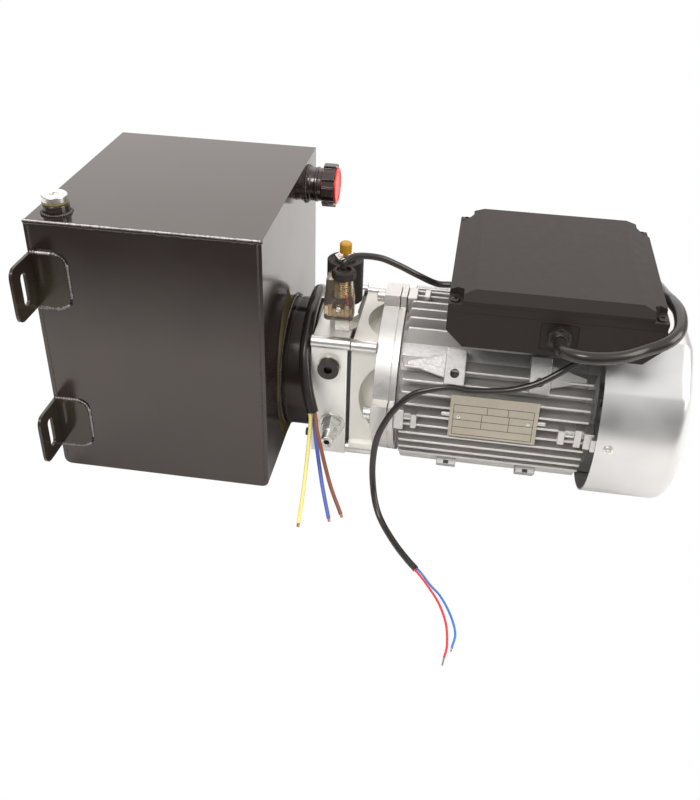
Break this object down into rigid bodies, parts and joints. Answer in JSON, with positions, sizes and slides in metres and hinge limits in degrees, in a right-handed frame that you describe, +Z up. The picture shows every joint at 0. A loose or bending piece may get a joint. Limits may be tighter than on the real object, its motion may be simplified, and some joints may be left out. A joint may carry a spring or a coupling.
{
  "type": "electric hydraulic power pack",
  "caption": "Compact power pack: welded square oil tank, gear pump on an aluminium manifold with a solenoid lowering valve, and a finned electric motor with a terminal box.",
  "frame": {"origin": "where the drive axis meets the foot face of the tank, the face that is bolted down", "axes": "+X along the drive axis from the tank to the fan, +Z up with the pack lying on its side, terminal box on top, -Y the side with the foot brackets and the pressure outlet"},
  "size_m": [0.6218, 0.4324, 0.3179],
  "materials": {
    "gloss_black": "gloss black paint",
    "black_plastic": "fine-grained black plastic",
    "black_rubber": "black cable sheath",
    "bright_aluminium": "milled and brushed aluminium",
    "cast_aluminium": "die-cast aluminium",
    "zinc_steel": "bright zinc plate",
    "steel": "plain machined steel",
    "copper_winding": "enamelled copper and laminations",
    "olive_seal": "olive bonded seal",
    "red_plastic": "red plastic",
    "orange_plastic": "orange plastic",
    "smoked_plastic": "smoked see-through plastic",
    "cream_plastic": "cream plastic",
    "yellow_core": "yellow insulation",
    "blue_core": "blue insulation",
    "brown_core": "brown insulation",
    "red_core": "red insulation"
  },
  "bodies": {
    "pack": {"tank_shell": "gloss_black", "tank_collar": "gloss_black", "foot_bracket_upper": "gloss_black", "foot_bracket_lower": "gloss_black", "drain_boss": "gloss_black", "filler_neck": "gloss_black", "port_plug": "gloss_black", "terminal_box_base": "black_plastic", "terminal_box_lid": "black_plastic", "cable_gland": "black_plastic", "solenoid_coil": "black_plastic", "connector_gland": "black_plastic", "pump_gasket": "black_rubber", "main_cable": "black_rubber", "valve_lead": "black_rubber", "switch_cable": "black_rubber", "manifold_block": "bright_aluminium", "motor_adapter": "bright_aluminium", "front_flange": "bright_aluminium", "fan_cowl": "bright_aluminium", "pump_body": "cast_aluminium", "pump_cover": "cast_aluminium", "motor_frame": "cast_aluminium", "rear_shield": "cast_aluminium", "drain_plug": "zinc_steel", "flange_bolt_top": "zinc_steel", "flange_bolt_back": "zinc_steel", "flange_bolt_bottom": "zinc_steel", "flange_bolt_front": "zinc_steel", "nameplate": "zinc_steel", "valve_cartridge": "zinc_steel", "coil_nut": "zinc_steel", "fitting_washer": "zinc_steel", "outlet_fitting": "zinc_steel", "suction_strainer": "steel", "front_bearing": "steel", "rear_bearing": "steel", "wound_stator": "copper_winding", "drain_seal": "olive_seal", "port_seal": "olive_seal", "filler_seal": "red_plastic", "valve_connector": "smoked_plastic", "run_capacitor": "cream_plastic", "terminal_block": "cream_plastic", "core_yellow": "yellow_core", "core_blue": "blue_core", "core_sky": "blue_core", "core_brown": "brown_core", "core_red": "red_core"},
    "rotor": {"motor_shaft": "steel", "rotor_core": "steel", "cooling_fan": "black_plastic", "shaft_coupling": "steel", "drive_gear": "steel"},
    "driven_gear": {"driven_gear": "steel"},
    "override": {"override_knob": "orange_plastic"},
    "cap": {"filler_cap": "black_plastic", "cap_disc": "red_plastic"}
  },
  "joints": [
    {"name": "shaft_spin", "type": "hinge", "parent": "pack", "child": "rotor", "pos_m": [0.4, 0, 0], "axis": [1, 0, 0], "continuous": true},
    {"name": "driven_gear_spin", "type": "hinge", "parent": "pack", "child": "driven_gear", "pos_m": [0.18, 0, -0.024], "axis": [1, 0, 0], "continuous": true},
    {"name": "override_push", "type": "slide", "parent": "pack", "child": "override", "axis": [0, 0, -1], "range_m": [0, 0.003], "stiffness_N_per_m": 2000},
    {"name": "cap_turn", "type": "hinge", "parent": "pack", "child": "cap", "pos_m": [0.24, 0.081, 0.17], "axis": [1, 0, 0], "range_deg": [0, 90]}
  ],
  "couplings": [
    {"joint": "driven_gear_spin", "follows": "shaft_spin", "ratio": -1}
  ]
}
